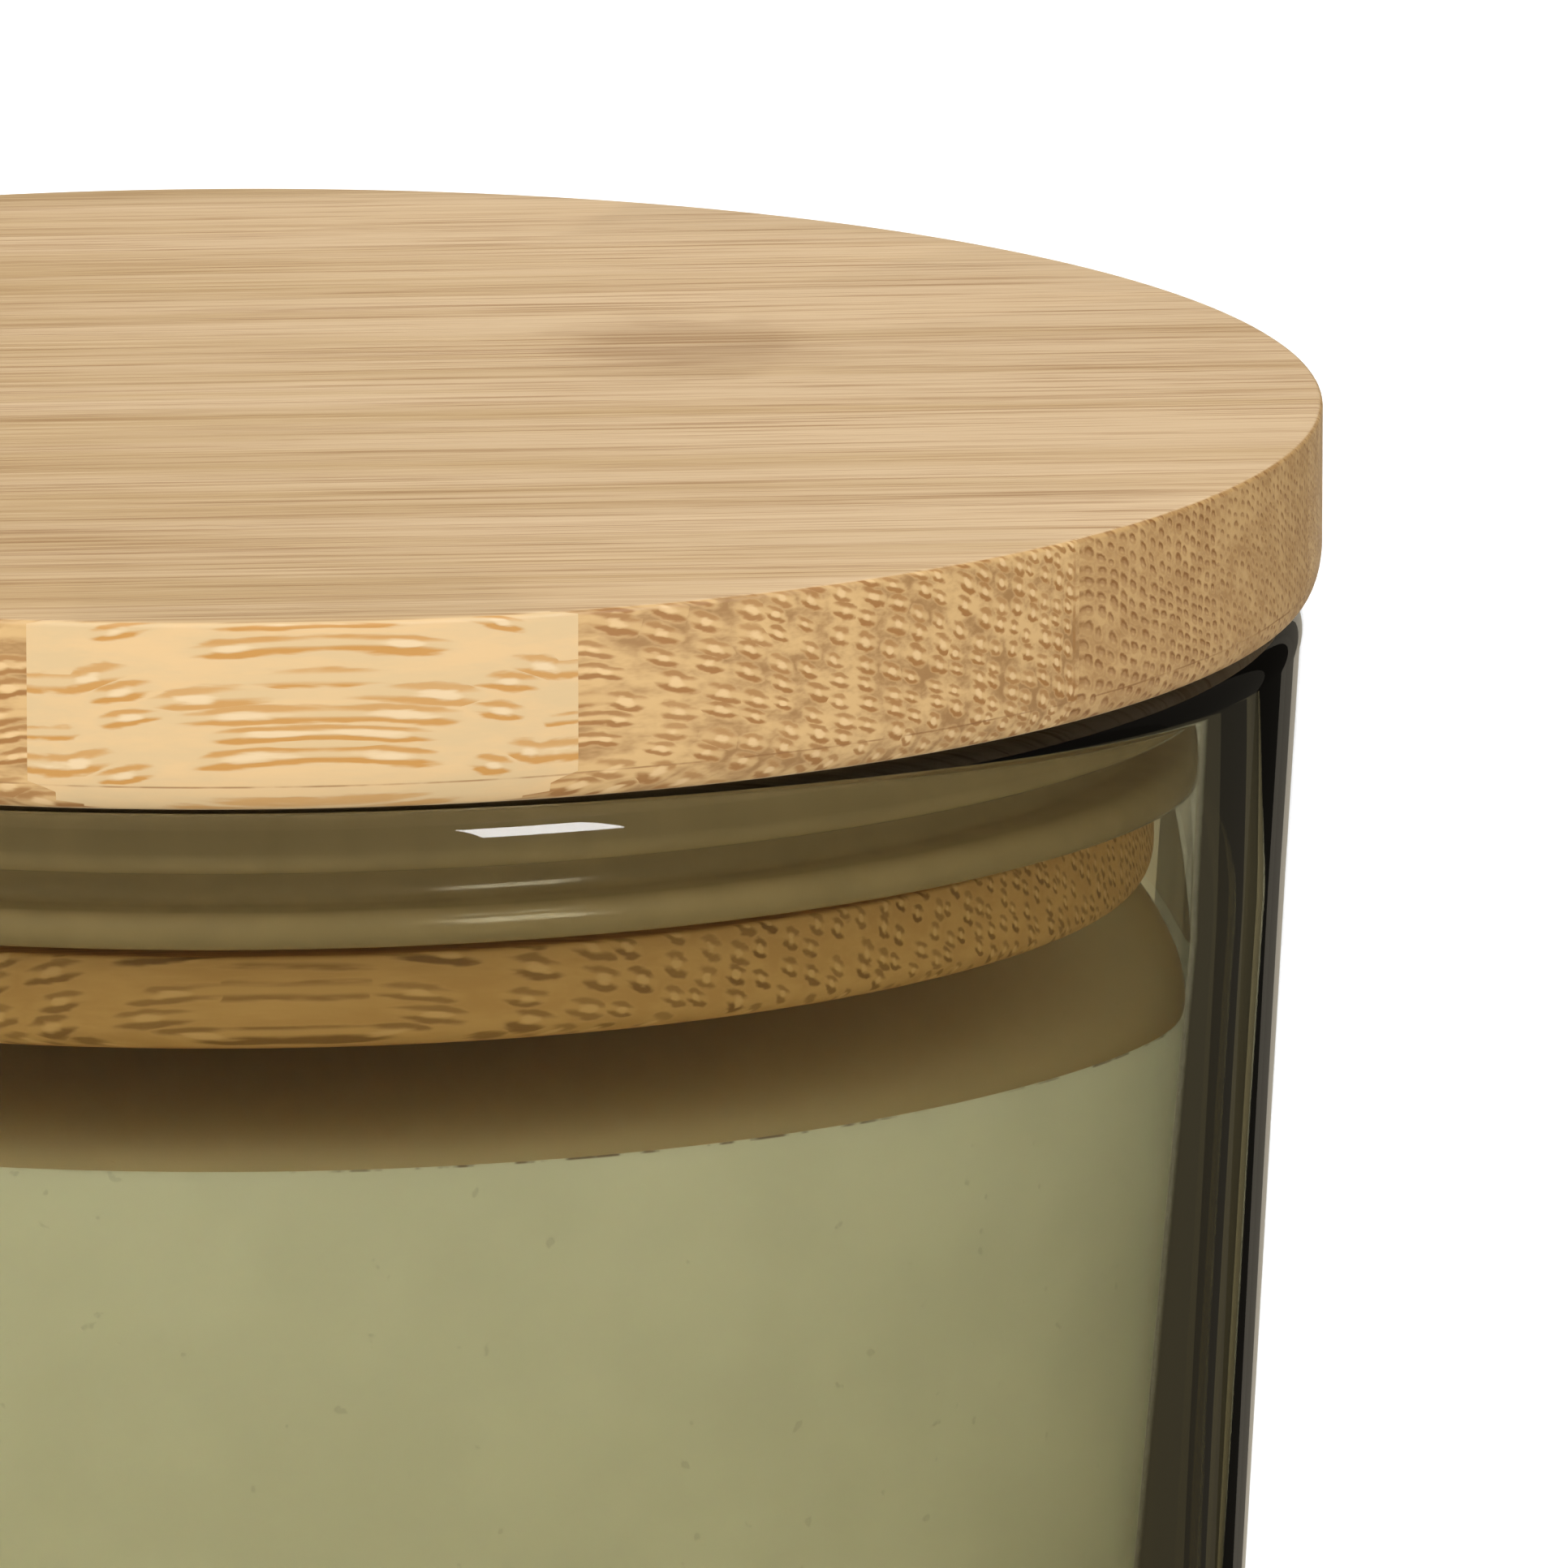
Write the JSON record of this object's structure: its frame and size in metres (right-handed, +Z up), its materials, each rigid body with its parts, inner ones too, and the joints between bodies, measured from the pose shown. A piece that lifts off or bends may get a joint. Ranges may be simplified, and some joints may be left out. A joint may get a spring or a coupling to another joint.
{
  "type": "candle jar",
  "caption": "Tapered olive glass candle jar holding wax and a wick, closed by a laminated bamboo plug lid with a silicone seal ring; the lid lifts off and turns.",
  "frame": {"origin": "centre of the jar's base, on the surface that it stands on", "axes": "+Z up along the jar's axis, +X along the bamboo lid's grain, +Y across the lid's glued strips"},
  "size_m": [0.084, 0.084, 0.0975],
  "materials": {
    "jar_glass": "clear pressed glass with an olive-green tint, glossy",
    "wax": "smooth matt cream wax with faint mottling",
    "wick_cotton": "braided cotton primed with wax",
    "tab_steel": "tinned sheet steel",
    "sticker_foam": "white adhesive foam",
    "seal_silicone": "translucent silicone, smooth satin",
    "plug_bamboo": "turned bamboo, fine sanded, unfinished, with vessels showing on the side",
    "lid_bamboo": "edge-laminated bamboo, fine sanded, unfinished, with vessels showing on the rim"
  },
  "bodies": {
    "jar": {"glass_jar": "jar_glass", "wax_fill": "wax", "wick": "wick_cotton", "wick_tab": "tab_steel", "wick_sticker": "sticker_foam"},
    "seal": {"seal_ring": "seal_silicone"},
    "lid": {"lid_plug": "plug_bamboo", "lid_strip_1": "lid_bamboo", "lid_strip_2": "lid_bamboo", "lid_strip_3": "lid_bamboo", "lid_strip_4": "lid_bamboo", "lid_strip_5": "lid_bamboo", "lid_strip_6": "lid_bamboo", "lid_strip_7": "lid_bamboo", "lid_strip_8": "lid_bamboo", "lid_strip_9": "lid_bamboo"}
  },
  "joints": [
    {"name": "lid_lift", "type": "slide", "parent": "jar", "child": "seal", "axis": [0, 0, 1], "range_m": [0, 0.06]},
    {"name": "lid_turn", "type": "hinge", "parent": "seal", "child": "lid", "pos_m": [0, 0, 0.0903], "axis": [0, 0, 1], "continuous": true}
  ]
}
